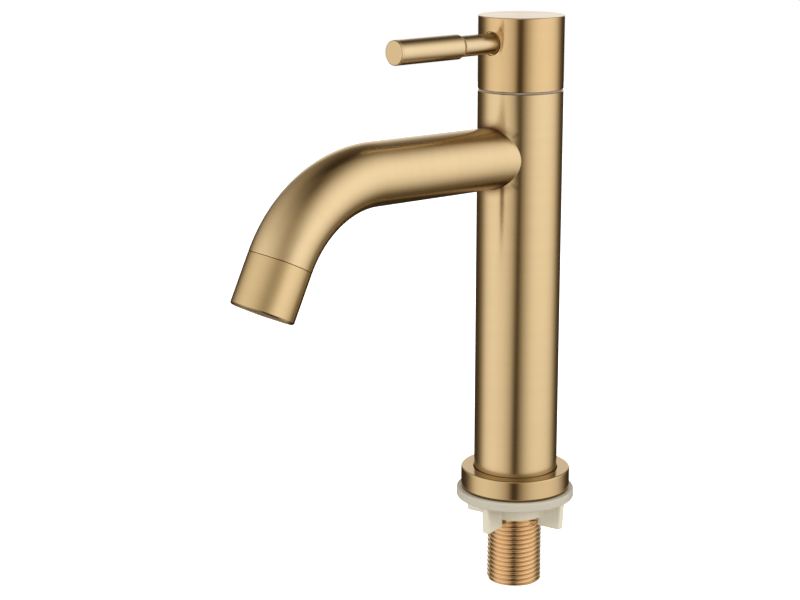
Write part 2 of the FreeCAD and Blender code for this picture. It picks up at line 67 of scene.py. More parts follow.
# %% Camera
camera_mm = np.array([507.18, -519.41, 246.19])
tilt_down = math.radians(13.4)
look = Vector((-0.7415, 0.6709, -math.tan(tilt_down)))
camera_data = bpy.data.cameras.new("camera")
camera_data.lens = 87.77
camera_data.sensor_width = 36.0
camera_data.clip_start = 0.01
camera = bpy.data.objects.new("camera", camera_data)
camera.location = camera_mm * MM
camera.rotation_mode = "QUATERNION"
camera.rotation_quaternion = look.to_track_quat("-Z", "Y")
bpy.context.scene.collection.objects.link(camera)
bpy.context.scene.camera = camera
bpy.context.scene.view_settings.view_transform = "Standard"
camera_azimuth = math.atan2(camera_mm[1], camera_mm[0])
print("camera stands", round(math.degrees(camera_azimuth), 1), "degrees round from +X")

# %% [markdown]
# ## Node groups for the finishes
#
# A brushed tap has fine lines that run round each tube, because it is polished on a lathe or a belt.
# Three things show them: the colour and the roughness change a little from line to line, and the
# surface is very slightly ribbed. All of it is one noise, stretched along the lines. The groups below
# put out a colour, a roughness and a height, and each material feeds them into its own shader.

# %% Helpers for node groups
def shader_group(name, inputs, outputs):
    """An empty node group with the named sockets. Returns its tree and its two end nodes."""
    tree = bpy.data.node_groups.new(name, "ShaderNodeTree")
    for label, kind, value in inputs:
        socket = tree.interface.new_socket(name=label, in_out="INPUT", socket_type="NodeSocket" + kind)
        if value is not None:
            socket.default_value = value
    for label, kind in outputs:
        tree.interface.new_socket(name=label, in_out="OUTPUT", socket_type="NodeSocket" + kind)
    return tree, tree.nodes.new("NodeGroupInput"), tree.nodes.new("NodeGroupOutput")


def feed(tree, node, values):
    """Gives a node's inputs their values: a socket is linked, and anything else is set."""
    for key, value in values.items():
        if isinstance(value, bpy.types.NodeSocket):
            tree.links.new(value, node.inputs[key])
        else:
            node.inputs[key].default_value = value


def add_node(tree, kind, values=(), **settings):
    """A node with its settings and the values of its inputs."""
    node = tree.nodes.new("ShaderNode" + kind)
    for name, value in settings.items():
        setattr(node, name, value)
    feed(tree, node, dict(values))
    return node


def calculate(tree, operation, first, second=0.0, third=0.0):
    """The result of one sum on numbers, as a socket."""
    return add_node(tree, "Math", {0: first, 1: second, 2: third}, operation=operation).outputs[0]


def product(tree, result, *factors):
    """A number times all the factors, as a socket."""
    for factor in factors:
        result = calculate(tree, "MULTIPLY", result, factor)
    return result


def step_between(tree, value, low, high):
    """A mask that rises smoothly from 0 at low to 1 at high. With low above high it falls."""
    values = {"Value": value, "From Min": low, "From Max": high, "To Min": 0.0, "To Max": 1.0}
    return add_node(tree, "MapRange", values, interpolation_type="SMOOTHSTEP").outputs[0]


def blend(tree, share, first, second):
    """Two numbers mixed by a share."""
    return add_node(tree, "Mix", {0: share, 2: first, 3: second}, data_type="FLOAT").outputs[0]


def blend_colours(tree, share, first, second):
    """Two colours mixed by a share."""
    return add_node(tree, "Mix", {0: share, 6: first, 7: second}, data_type="RGBA").outputs[2]


def noise(tree, vector, scale, detail, **more):
    """A cloudy noise round 0.5."""
    values = {"Vector": vector, "Scale": scale, "Detail": detail, **more}
    return add_node(tree, "TexNoise", values).outputs[0]


def varied(tree, value, amount, base):
    """The base plus an amount times (value - 0.5)."""
    return calculate(tree, "MULTIPLY_ADD", calculate(tree, "SUBTRACT", value, 0.5), amount, base)


FINISH_OUTPUTS = [("Colour", "Color"), ("Roughness", "Float"), ("Height", "Float")]


# %% Group: brushed metal
def make_brushed_group():
    """Noise that is slow round the piece and quick along it, for a tone, a roughness and a height."""
    tree, start, end = shader_group("brushed", [
        ("Vector", "Vector", None), ("Round", "Float", 90.0), ("Along", "Float", 2500.0),
        ("Colour", "Color", None), ("Tone", "Float", 0.05), ("Roughness", "Float", 0.25),
        ("Spread", "Float", 0.05),
    ], FINISH_OUTPUTS)
    given = start.outputs
    scale = add_node(tree, "CombineXYZ", {"X": given["Round"], "Y": given["Round"], "Z": given["Along"]})
    stretched = add_node(tree, "VectorMath", {0: given["Vector"], 1: scale.outputs[0]},
                         operation="MULTIPLY").outputs[0]
    lines = noise(tree, stretched, 1.0, 3.0, Roughness=0.62)
    bands = noise(tree, stretched, 0.11, 1.0)
    clouds = noise(tree, given["Vector"], 34.0, 2.0)
    shift = calculate(tree, "SUBTRACT", calculate(tree, "ADD", bands, clouds), 1.0)
    factor = calculate(tree, "MULTIPLY_ADD", shift, given["Tone"], 1.0)
    colour = add_node(tree, "VectorMath", {0: given["Colour"], "Scale": factor}, operation="SCALE")
    rough = varied(tree, clouds, 0.03, varied(tree, lines, given["Spread"], given["Roughness"]))
    feed(tree, end, {"Colour": colour.outputs[0], "Roughness": rough, "Height": lines})
    return tree


brushed = make_brushed_group()
print("group:", brushed.name, "with", len(brushed.nodes), "nodes")


# %% Group: moulded plastic and rubber
def make_moulded_group():
    """Fine even noise for a mould's skin, with a slow change between two tones."""
    tree, start, end = shader_group("moulded", [
        ("Vector", "Vector", None), ("Scale", "Float", 1400.0), ("Colour", "Color", None),
        ("Second Colour", "Color", None), ("Roughness", "Float", 0.45), ("Spread", "Float", 0.1),
    ], FINISH_OUTPUTS)
    given = start.outputs
    skin = noise(tree, given["Vector"], given["Scale"], 3.0)
    flow = noise(tree, given["Vector"], 85.0, 3.0, Distortion=0.6)
    share = step_between(tree, flow, 0.3, 0.7)
    colour = blend_colours(tree, share, given["Colour"], given["Second Colour"])
    rough = varied(tree, flow, given["Spread"], given["Roughness"])
    feed(tree, end, {"Colour": colour, "Roughness": rough, "Height": skin})
    return tree


moulded = make_moulded_group()
print("group:", moulded.name, "with", len(moulded.nodes), "nodes")

# %% [markdown]
# ## The materials
#
# The gold is a thin hard coating on steel or brass, so it is metal all through for the shader: the
# base colour is the colour of its reflections. The brushing stretches each reflection across its
# lines. The shader does that with Anisotropic, turned a quarter because the lines run round the
# piece, along the first direction of its UV map. Numbers that are the same all over a surface are
# set on the shader itself, so that other programs can read them too.
#
# Two factors on the colour are painted shade, for what the room alone doesn't give. The colour is
# painted a little dimmer where other metal reflects it, and the top of a piece is painted dimmer than its
# sides. The first reads Light Path, and the second reads how far the surface faces up.

# %% Helper: one material
finishes = {}


def new_material(name, group, place, group_values, bump_mm, strength, shader_values):
    """A material: a group's colour and roughness go into the shader, and its height through a bump."""
    finishes[name] = material = bpy.data.materials.new(name)
    material.use_nodes = True
    tree = material.node_tree
    kind, label, settings = place
    vector = add_node(tree, kind, **settings).outputs[label]
    finish = add_node(tree, "Group", {"Vector": vector, **group_values}, node_tree=group).outputs
    bump = add_node(tree, "Bump", {"Height": finish["Height"], "Strength": strength,
                                   "Distance": bump_mm * MM})
    feed(tree, tree.nodes["Principled BSDF"], {
        "Base Color": finish["Colour"], "Roughness": finish["Roughness"],
        "Normal": bump.outputs["Normal"], **shader_values,
    })
    return material


def recolour(material, operation, second):
    """Puts one more sum between a material's colour and its shader."""
    tree = material.node_tree
    colour = tree.nodes["Principled BSDF"].inputs["Base Color"]
    values = {0: colour.links[0].from_socket, **second}
    tree.links.new(add_node(tree, "VectorMath", values, operation=operation).outputs[0], colour)


UNROLLED = ("Attribute", "Vector", {"attribute_name": "lay"})
SOLID = ("TexCoord", "Object", {})


def brushed_gold(name, colour, roughness, stretch, tone=0.06, reflected_shade=0.5, top_shade=1.0):
    """Brushed metal. Two painted shades scale its colour: one where other metal reflects it, one on its top.
    """
    values = {"Colour": (*colour, 1.0), "Roughness": roughness, "Spread": 0.05, "Tone": tone}
    material = new_material(name, brushed, UNROLLED, values, 0.004, 0.5, {
        "Metallic": 1.0, "Anisotropic": stretch, "Anisotropic Rotation": 0.25,
    })
    tree = material.node_tree
    tangent = add_node(tree, "Tangent", direction_type="UV_MAP", uv_map="UVMap")
    feed(tree, tree.nodes["Principled BSDF"], {"Tangent": tangent.outputs[0]})
    # Painted shade: the colour is scaled down for glossy rays and on faces that point up.
    mirrored = add_node(tree, "LightPath").outputs["Is Glossy Ray"]
    normal = add_node(tree, "SeparateXYZ", {0: add_node(tree, "NewGeometry").outputs["Normal"]})
    faces_up = step_between(tree, normal.outputs["Z"], 0.3, 0.95)
    factor = product(tree, calculate(tree, "MULTIPLY_ADD", mirrored, reflected_shade - 1.0, 1.0),
                     calculate(tree, "MULTIPLY_ADD", faces_up, top_shade - 1.0, 1.0))
    recolour(material, "SCALE", {"Scale": factor})


# %% Gold finishes
brushed_gold("gold_column", (0.84, 0.625, 0.345), 0.21, 0.5)
brushed_gold("gold_spout", (0.86, 0.65, 0.37), 0.23, 0.4, reflected_shade=0.55)
brushed_gold("gold_outlet", (0.80, 0.59, 0.31), 0.23, 0.4, reflected_shade=1.0)
brushed_gold("gold_hub", (0.79, 0.55, 0.28), 0.13, 0.55, tone=0.08)
brushed_gold("gold_foot", (0.76, 0.55, 0.29), 0.17, 0.5, reflected_shade=0.45)
brushed_gold("gold_lever", (0.86, 0.66, 0.39), 0.20, 0.4, reflected_shade=0.95, top_shade=0.7)
brushed_gold("gold_tip", (0.94, 0.715, 0.41), 0.42, 0.1, reflected_shade=0.85)
brushed_gold("gold_thread", (1.0, 0.735, 0.455), 0.17, 0.2, tone=0.1, reflected_shade=0.9)
print("gold finishes:", list(finishes))


# %% Finishes of the other parts
def plain_metal(name, colour, roughness, line_scale):
    """Turned metal inside the tap, with its lines across the Z axis."""
    values = {"Colour": (*colour, 1.0), "Roughness": roughness, "Spread": 0.12, "Tone": 0.12,
              "Round": 120.0, "Along": line_scale}
    new_material(name, brushed, SOLID, values, 0.01, 0.6, {"Metallic": 1.0})


def moulded_part(name, colour, second, roughness, skin_scale, bump_mm, shine=0.5):
    """Plastic, rubber or ceramic, with two close tones and a fine skin."""
    values = {"Colour": (*colour, 1.0), "Second Colour": (*second, 1.0), "Roughness": roughness,
              "Scale": skin_scale}
    new_material(name, moulded, SOLID, values, bump_mm, 0.5, {"Specular IOR Level": shine})


plain_metal("turned_brass", (0.78, 0.57, 0.28), 0.30, 3200.0)
plain_metal("bare_steel", (0.60, 0.60, 0.59), 0.28, 2600.0)
# Painted shadow: this dark brown colours only the bead that stands for the shadow line under the foot ring.
moulded_part("shadow_brown", (0.085, 0.055, 0.02), (0.10, 0.065, 0.024), 0.75, 1900, 0.02, shine=0.1)
moulded_part("white_disc", (0.52, 0.49, 0.41), (0.55, 0.51, 0.42), 0.42, 1500, 0.012)
moulded_part("white_nut", (0.72, 0.675, 0.54), (0.75, 0.695, 0.55), 0.40, 1500, 0.012)
# Painted shade: the aerator is coloured dark brown, which stands for the shade inside the spout's mouth.
moulded_part("mouth_painted_shade", (0.25, 0.195, 0.115), (0.29, 0.23, 0.14), 0.45, 1500, 0.012)
moulded_part("inner_plastic", (0.78, 0.77, 0.73), (0.81, 0.80, 0.76), 0.40, 1500, 0.012)
moulded_part("grey_plastic", (0.31, 0.275, 0.25), (0.34, 0.305, 0.275), 0.38, 1600, 0.01)
moulded_part("lapped_ceramic", (0.86, 0.85, 0.82), (0.89, 0.88, 0.86), 0.16, 2400, 0.002)
print("finishes:", len(finishes))

# %% [markdown]
# ## Helpers for the shapes
#
# Nearly every part of a tap is turned, so its surface is a profile carried round an axis. A profile
# is drawn as a few corners of (radius, height), and each corner gets a small round. Real edges are
# never quite sharp, and that round is what catches a bright line of light. Two close points beside
# each round keep the flat parts flat when the shading is smooth.

# %% Helper: make a piece
def make_piece(name, surface, finish, body, slot, *nodes):
    """Makes an object of a surface. It stands for its CAD nodes and rides on their body.

    A surface is its points in millimetres, its faces as index arrays, and for each point the angle round
    the piece, the distance along the profile and the radius on which it is unrolled. The UV map is angle
    times radius against distance. A face across the seam has its corners on one side of it. The brushing
    follows the attribute lay = (radius cos angle, radius sin angle, distance).
    """
    points, faces, angle, along, radius = surface
    around, turn = angle * radius, 2 * math.pi * radius.max()
    lay = np.stack([np.cos(angle) * radius, np.sin(angle) * radius, along], -1)
    mesh = bpy.data.meshes.new(name)
    corners = np.concatenate([block.ravel() for block in faces])
    sizes = np.concatenate([np.full(len(block), block.shape[1]) for block in faces])
    mesh.vertices.add(len(points))
    mesh.vertices.foreach_set("co", (points * MM).astype(np.float32).ravel())
    mesh.loops.add(len(corners))
    mesh.loops.foreach_set("vertex_index", corners.astype(np.int32))
    mesh.polygons.add(len(sizes))
    mesh.polygons.foreach_set("loop_start", (np.cumsum(sizes) - sizes).astype(np.int32))
    mesh.update(calc_edges=True)
    mesh.polygons.foreach_set("use_smooth", np.ones(len(sizes), bool))
    maps = []
    for block in faces:
        u = around[block]
        u = np.where(u < u.max(1, keepdims=True) - turn / 2, u + turn, u)
        maps.append(np.stack([u, along[block]], -1).reshape(-1, 2))
    layer = mesh.uv_layers.new(name="UVMap")
    layer.uv.foreach_set("vector", (np.concatenate(maps) * 0.005).astype(np.float32).ravel())
    unrolled = mesh.attributes.new("lay", "FLOAT_VECTOR", "POINT")
    unrolled.data.foreach_set("vector", (lay * MM).astype(np.float32).ravel())
    mesh.materials.append(finishes[finish])
    obj = bpy.data.objects.new(name, mesh)
    bpy.context.scene.collection.objects.link(obj)
    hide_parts(*nodes)
    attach(obj, body)
    print(f"{name}: {len(mesh.polygons)} faces, {np.round(np.ptp(points, 0), 1)} mm")


# %% Helper: round the corners of a profile
def unit(vectors):
    """The same directions with a length of 1."""
    return vectors / np.linalg.norm(vectors, axis=-1, keepdims=True)


def distances(line):
    """How far along a line each of its points is."""
    return np.append(0, np.cumsum(np.linalg.norm(np.diff(line, axis=0), axis=1)))


def rounded(corners, closed=True, steps=4):
    """A profile of (radius, height, round) corners with each corner replaced by an arc.

    The arc touches both sides at round / tan(half the corner), and its centre lies on the bisector. Its
    points turn evenly from one touching point to the other. One more point stands close by on each side.
    """
    corners = np.array(corners, float)
    sides = np.roll(corners, 1, 0) - corners, np.roll(corners, -1, 0) - corners
    start, finish = corners[:1, :2], corners[-1:, :2]
    if not closed:
        corners, sides = corners[1:-1], [side[1:-1] for side in sides]
    place, wanted = corners[:, :2], corners[:, 2]
    back, ahead = (side[:, :2] for side in sides)
    room = np.minimum(np.linalg.norm(back, axis=1), np.linalg.norm(ahead, axis=1))
    back, ahead = unit(back), unit(ahead)
    half = 0.5 * np.arccos(np.clip((back * ahead).sum(1), -1, 1))
    reach = np.minimum(wanted / np.tan(half), 0.4 * room)
    centre = place + unit(back + ahead) * (reach * np.tan(half) / np.sin(half))[:, None]
    turn = (math.pi - 2 * half)[:, None]
    share = np.linspace(0, 1, steps + 1)[None, :]
    leaving = (np.sin((1 - share) * turn) / np.sin(turn))[..., None]
    coming = (np.sin(share * turn) / np.sin(turn))[..., None]
    from_centre = place + back * reach[:, None] - centre, place + ahead * reach[:, None] - centre
    arc = centre[:, None] + leaving * from_centre[0][:, None] + coming * from_centre[1][:, None]
    spare = (reach + np.minimum(0.6 * reach, 0.06 * room))[:, None]
    points = np.concatenate([(place + back * spare)[:, None], arc, (place + ahead * spare)[:, None]], 1)
    points = points.reshape(-1, 2)
    if closed:
        return points
    shares = np.array([0.06, 0.3, 0.55, 0.8])[:, None]
    first = start + (points[:1] - start) * shares
    last = finish + (points[-1:] - finish) * shares[::-1]
    return np.concatenate([start, first, points, last, finish])


def grid_faces(rows, columns, closed):
    """Four-cornered faces of a grid whose columns run round. Closed also joins the last row to the first."""
    row = np.arange(rows if closed else rows - 1)[:, None]
    column = np.arange(columns)[None, :]
    below, beside = row * columns, (column + 1) % columns
    above = ((row + 1) % rows) * columns
    return np.stack([below + column, below + beside, above + beside, above + column], -1).reshape(-1, 4)


# %% Helper: spin a profile
def spun(profile, columns=128, closed=True):
    """Carries a profile of (radius, height) points round the Z axis: x = r cos a, y = r sin a, z = height.

    The profile runs so that the outside is on its right: up the outer wall and down the inner one. A
    profile that isn't closed starts and ends on the axis, where each end is one point with a fan of
    triangles.
    """
    ring = profile if closed else profile[1:-1]
    length = distances(profile)
    along = np.repeat(length if closed else length[1:-1], columns)
    angle = np.tile(np.arange(columns) * 2 * math.pi / columns, len(ring))
    reach, height = np.repeat(ring, columns, axis=0).T
    points = np.stack([reach * np.cos(angle), reach * np.sin(angle), height], -1)
    radius = np.full(len(points), ring[:, 0].max())
    faces = [grid_faces(len(ring), columns, closed)]
    if not closed:
        column = np.arange(columns)
        beside = (column + 1) % columns
        first, last = np.full(columns, len(points)), np.full(columns, len(points) + 1)
        top = (len(ring) - 1) * columns
        faces.append(np.stack([first, beside, column], -1))
        faces.append(np.stack([last, top + column, top + beside], -1))
        points = np.concatenate([points, [[0, 0, profile[0, 1]], [0, 0, profile[-1, 1]]]])
        along = np.append(along, length[[0, -1]])
        angle, radius = np.append(angle, [0, 0]), np.append(radius, [0, 0])
    return points, faces, angle, along, radius


def aimed(surface, origin, direction):
    """The same surface with its Z axis laid along a direction in the YZ plane, from an origin."""
    z_axis = unit(np.array(direction, float))
    x_axis = np.array([1.0, 0.0, 0.0])
    y_axis = np.cross(z_axis, x_axis)
    placed = np.array(origin) + surface[0] @ np.stack([x_axis, y_axis, z_axis])
    return (placed,) + surface[1:]


square_corner = rounded([(0, 0, 0.5), (4, 0, 0.5), (4, 4, 0.5)])[6:9]
print("a round of 0.5 mm on a square corner:", np.round(square_corner, 2).tolist())

# %% [markdown]
# ## Tubes with holes in their sides
#
# The lever enters the hub through a small round recess, the grub screw sits in a hole at the back,
# and the spout's water comes out of the column's side. A round hole in a round wall could be cut with
# a Boolean, but that leaves long thin faces that spoil a soft reflection. Here a window of the grid is
# left out of the outer and the inner wall, and rings lead from the window's edge to the hole's edge
# and on through the wall, so the faces stay even.

# %% Helper: bore a tube's wall
def bored(surface, ring, columns, walls, hole):
    """Cuts a round hole, with or without a wider recess, through both walls of a spun tube.

    hole gives the direction in degrees, the height, the window's half size, the hole's radius, and the
    recess's radius and floor. A ring's point is (x, z) in the plane across the hole. On a wall of radius R
    it lies sqrt(R^2 - x^2) out from the axis, and a floor is flat. Rings between the window and the hole
    are straight mixes of the two.
    """
    points, faces, angle, along, radius = surface
    quads = faces[0]
    outer_r, inner_r = walls
    ease, mouth, bore, floor = (hole[key] for key in ("round", "recess_r", "hole_r", "floor"))
    facing = math.radians(hole["degrees"])
    out = np.array([math.cos(facing), math.sin(facing), 0.0])
    side = np.array([-math.sin(facing), math.cos(facing), 0.0])
    per_column = 2 * math.pi / columns
    middle = round(facing / per_column) % columns
    wide = math.ceil(math.asin(hole["window"] / outer_r) / per_column)

    def window(wall_r):
        """Rows of one wall inside the window, in the order that they rise."""
        on_this_wall = np.abs(ring[:, 0] - wall_r) < 1e-6
        near = np.abs(ring[:, 1] - hole["z"]) <= hole["window"] + 1e-6
        rows = np.nonzero(on_this_wall & near)[0]
        return rows[np.argsort(ring[rows, 1])]

    def edge(rows):
        """Points round the window's edge, anticlockwise as seen from outside, also as (x, z)."""
        column = (middle + np.arange(-wide, wide + 1)) % columns
        low, high = rows[0], rows[-1]
        index = np.concatenate([
            low * columns + column[:-1], rows[:-1] * columns + column[-1],
            high * columns + column[:0:-1], rows[:0:-1] * columns + column[0],
        ])
        return index, np.stack([points[index] @ side, points[index][:, 2] - hole["z"]], 1)

    def at_distance(flat, distance):
        """Points of the plane across the hole, at a distance out from the axis."""
        lifted = np.array([0, 0, 1.0]) * (flat[:, 1:] + hole["z"])
        return out * np.reshape(distance, (-1, 1)) + side * flat[:, :1] + lifted

    def on_wall(flat, wall_r, depth=0.0):
        """Points of the plane across the hole, put on a wall or some depth inside it."""
        return at_distance(flat, np.sqrt(wall_r ** 2 - flat[:, 0] ** 2) - depth)

    face_row, face_column = np.divmod(quads[:, 0], columns)
    across = (face_column - middle + wide) % columns < 2 * wide
    kept = np.ones(len(quads), bool)
    for wall_r in walls:
        rows = window(wall_r)
        kept &= ~(across & (face_row >= rows.min()) & (face_row < rows.max()))
    rows = window(outer_r)
    outer_edge, flat_outer = edge(rows)
    inner_edge, flat_inner = edge(window(inner_r))
    circle = unit(flat_outer)
    rings = [on_wall(flat_outer * (1 - t) + circle * (mouth + ease * 1.5) * t, outer_r)
             for t in (0.4, 0.75, 1.0)]
    rings += [on_wall(circle * (mouth + ease * (1 - math.sin(a))), outer_r, ease * (1 - math.cos(a)))
              for a in np.linspace(0, math.pi / 2, 5)]
    if floor:
        steps_in = [(mouth, floor + 0.02), (mouth - 0.04, floor), (bore + 0.1, floor), (bore, floor - 0.1)]
        rings += [at_distance(circle * reach, distance) for reach, distance in steps_in]
    rings += [on_wall(circle * bore, inner_r, -0.1), on_wall(circle * (bore + 0.1), inner_r)]
    rings += [on_wall(circle * (bore + 0.1) * (1 - t) + flat_inner * t, inner_r) for t in (0.3, 0.65)]
    count = len(outer_edge)
    new = [len(points) + i * count + np.arange(count) for i in range(len(rings))]
    index = [outer_edge] + new + [inner_edge]
    strips = [np.stack([a, np.roll(a, -1), np.roll(b, -1), b], -1) for a, b in zip(index[:-1], index[1:])]
    added = np.concatenate(rings)
    new_angle = np.mod(np.arctan2(added[:, 1], added[:, 0]), 2 * math.pi)
    new_along = np.interp(added[:, 2], ring[rows, 1], along[rows * columns])
    new_along = new_along + (outer_r - np.linalg.norm(added[:, :2], axis=1))
    return (np.concatenate([points, added]), [np.concatenate([quads[kept]] + strips)] + faces[1:],
            np.append(angle, new_angle), np.append(along, new_along),
            np.append(radius, np.full(len(added), radius.max())))


def with_rows(profile, wall_r, heights):
    """The profile with points added on one straight wall, so that a window has rows to start from."""
    on_wall = np.abs(profile[:, 0] - wall_r) < 1e-6
    gaps = np.nonzero(on_wall & np.roll(on_wall, -1))[0]
    lengths = np.abs(np.roll(profile[:, 1], -1) - profile[:, 1])[gaps]
    at = gaps[np.argmax(lengths)]
    rising = profile[(at + 1) % len(profile), 1] > profile[at, 1]
    order = heights if rising else heights[::-1]
    rows = np.stack([np.full(len(order), wall_r), order], 1)
    return np.insert(profile, at + 1, rows, axis=0)


def pierced(profile, walls, heights, holes, columns=192, closed=True):
    """A spun tube with holes. Its outer and inner wall get rows at the given heights first."""
    for wall_r in walls:
        profile = with_rows(profile, wall_r, heights)
    surface = spun(profile, columns, closed)
    for hole in holes:
        surface = bored(surface, profile if closed else profile[1:-1], columns, walls, hole)
    return surface


# %% [markdown]
# ## The column
#
# The column is a plain round tube, and most of what the eye sees is its reflections, so its surface
# has to be perfectly even. Its top edge has a fine chamfer that shows as a bright line under the trim
# ring. A hole in its side lets the water into the spout.

# %% Column
column_low, column_high = box_mm("column")
column_r, column_bore, top_chamfer = column_high[0], column_high[0] - 1.5, 0.3
spout_z = column_high[2] - 24.57
column_profile = rounded([
    (column_bore, column_low[2], 0.15), (column_r, column_low[2], 0.15),
    (column_r, column_high[2] - top_chamfer, 0.08), (column_r - top_chamfer, column_high[2], 0.08),
    (column_bore, column_high[2], 0.15),
])
port = {"degrees": -90.0, "z": spout_z, "window": 11.0, "recess_r": 8.5, "hole_r": 8.5, "floor": None,
        "round": 0.2}
port_rows = spout_z + np.linspace(-11.0, 11.0, 15)
column = pierced(column_profile, (column_r, column_bore), port_rows, [port])
make_piece("column_tube", column, "gold_column", "tap_body", "brushed_gold", "column")

# %% [markdown]
# ## The foot
#
# A wider ring covers the hole in the basin. The column stands in it on a ledge, with a narrow gap that
# shows as a shadow line, and a rubber seal sits in a groove under it. Its edges have a round of half a
# millimetre, which shows as a soft light line. Under the ring a small dark brown bead paints the shadow
# line between the ring and the disc.

# %% Foot ring and painted shadow bead
flange_r, _, flange_top = box_mm("base_flange")[1]
shank_hole, ledge_z, shadow_gap = 10.5775, 2.0, 0.2
seal_r, seal_half, seal_depth = (column_r + flange_r) / 2, 0.95, 1.7
flange_profile = rounded([
    (shank_hole, 0, 0.2), (seal_r - seal_half, 0, 0.12), (seal_r - seal_half, seal_depth, 0.12),
    (seal_r + seal_half, seal_depth, 0.12), (seal_r + seal_half, 0, 0.12), (flange_r, 0, 0.3),
    (flange_r, flange_top, 0.5), (column_r + shadow_gap, flange_top, 0.4),
    (column_r + shadow_gap, ledge_z, 0.1), (shank_hole, ledge_z, 0.2),
])
make_piece("foot_ring", spun(flange_profile, 160), "gold_foot", "tap_body", "brushed_gold", "base_flange")
# Painted shadow: the bead under the foot ring's edge is dark brown to paint the shadow line there.
bead_in, bead_out, bead_low = flange_r - 0.85, flange_r - 0.12, -0.7
bead_profile = rounded([(bead_in, bead_low, 0.15), (bead_out, bead_low, 0.2), (bead_out, 0, 0.05),
                        (bead_in, 0, 0.05)])
make_piece("painted_shadow_bead", spun(bead_profile, 160), "shadow_brown", "tap_body", "black_rubber")

# %% [markdown]
# ## The spout
#
# The spout is one tube: it leaves the column level, runs straight, and bends down. A circle is
# carried along that line. Its first ring is not flat: every point of it slides back along the tube
# until it meets the column, which gives the saddle-shaped joint. A small weld rounds that corner.
# The weld is a curve pulled towards the sharp corner, from the column's skin to the tube's.

# %% Spout tube
spout_r = box_mm("outlet_shell")[1, 0]
rise, straight, bend_r, bend = math.radians(0.76), 73.6, 46.0, math.radians(64.5)
weld, shell_length, seam_round, spout_wall = 0.15, 18.6, 0.22, 1.3
to_bend_end = straight + bend_r * bend


def spout_line(distance):
    """Points and directions of the spout's centre line: straight, then an arc that turns down from it."""
    turned = np.clip((distance - straight) / bend_r, 0, bend)
    past = distance - straight - turned * bend_r
    run = np.minimum(distance, straight)
    heading = rise - turned
    ahead = np.stack([np.zeros_like(heading), -np.cos(heading), np.sin(heading)], -1)
    start = np.array([0, -math.cos(rise), math.sin(rise)])
    down = np.array([0, -math.sin(rise), -math.cos(rise)])
    arc = bend_r * (start * np.sin(turned)[:, None] + down * (1 - np.cos(turned))[:, None])
    spot = np.array([0, 0, spout_z]) + start * run[:, None] + arc
    return spot + ahead * np.where(distance > straight, past, 0)[:, None], ahead


def spout_surface(columns=144):
    """The joint's rings, then flat rings along the centre line, then the small round at the seam.

    For a tube radius q and an angle a round it, the tube's line meets the column where the distance out
    is sqrt(R^2 - (q cos a)^2). The weld mixes three such places with weights (1-t)^2, 2t(1-t) and t^2.
    """
    angle = np.arange(columns) * 2 * math.pi / columns

    def skin(tube_r, extra=0.0):
        """Where the lines of a tube meet the column, or an extra distance further out."""
        x, lift = tube_r * np.cos(angle), tube_r * np.sin(angle)
        out = np.sqrt(column_r ** 2 - x ** 2) + extra
        return np.stack([x, -out, spout_z + lift / math.cos(rise) + out * math.tan(rise)], -1)

    def circles(stations, radii):
        """Flat rings of the given radii at distances along the centre line."""
        spots, aheads = spout_line(stations)
        x_axis = np.array([1.0, 0, 0])
        ups = np.cross(aheads, x_axis)[:, None]
        spokes = np.cos(angle)[None, :, None] * x_axis + np.sin(angle)[None, :, None] * ups
        return spots[:, None] + np.reshape(radii, (-1, 1, 1)) * spokes

    wide, sharp, along_tube = skin(spout_r + weld), skin(spout_r), skin(spout_r, weld)
    share = np.linspace(0, 1, 7)[:, None, None]
    turned = np.linspace(0, math.pi / 2, 5)
    bore, end = spout_r - spout_wall, to_bend_end
    grid = np.concatenate([
        (1 - share) ** 2 * wide + 2 * share * (1 - share) * sharp + share ** 2 * along_tube,
        circles(np.linspace(column_r + weld, straight, 14)[1:], spout_r),
        circles(np.linspace(straight, end - seam_round, 38)[1:-1], spout_r),
        circles(np.array([end - seam_round - 0.15]), spout_r),
        circles(end - seam_round * (1 - np.sin(turned)), spout_r - seam_round * (1 - np.cos(turned))),
        circles(np.array([end, end - 0.2]), bore),
        circles(np.linspace(end - 2.0, column_r + weld, 40), bore),
        skin(bore)[None],
    ])
    along = np.repeat(distances(grid.mean(1)), columns)
    return (grid.reshape(-1, 3), [grid_faces(len(grid), columns, True)], np.tile(angle, len(grid)), along,
            np.full(len(along), spout_r))


make_piece("spout_bend", spout_surface(), "gold_spout", "tap_body", "brushed_gold", "spout_tube")
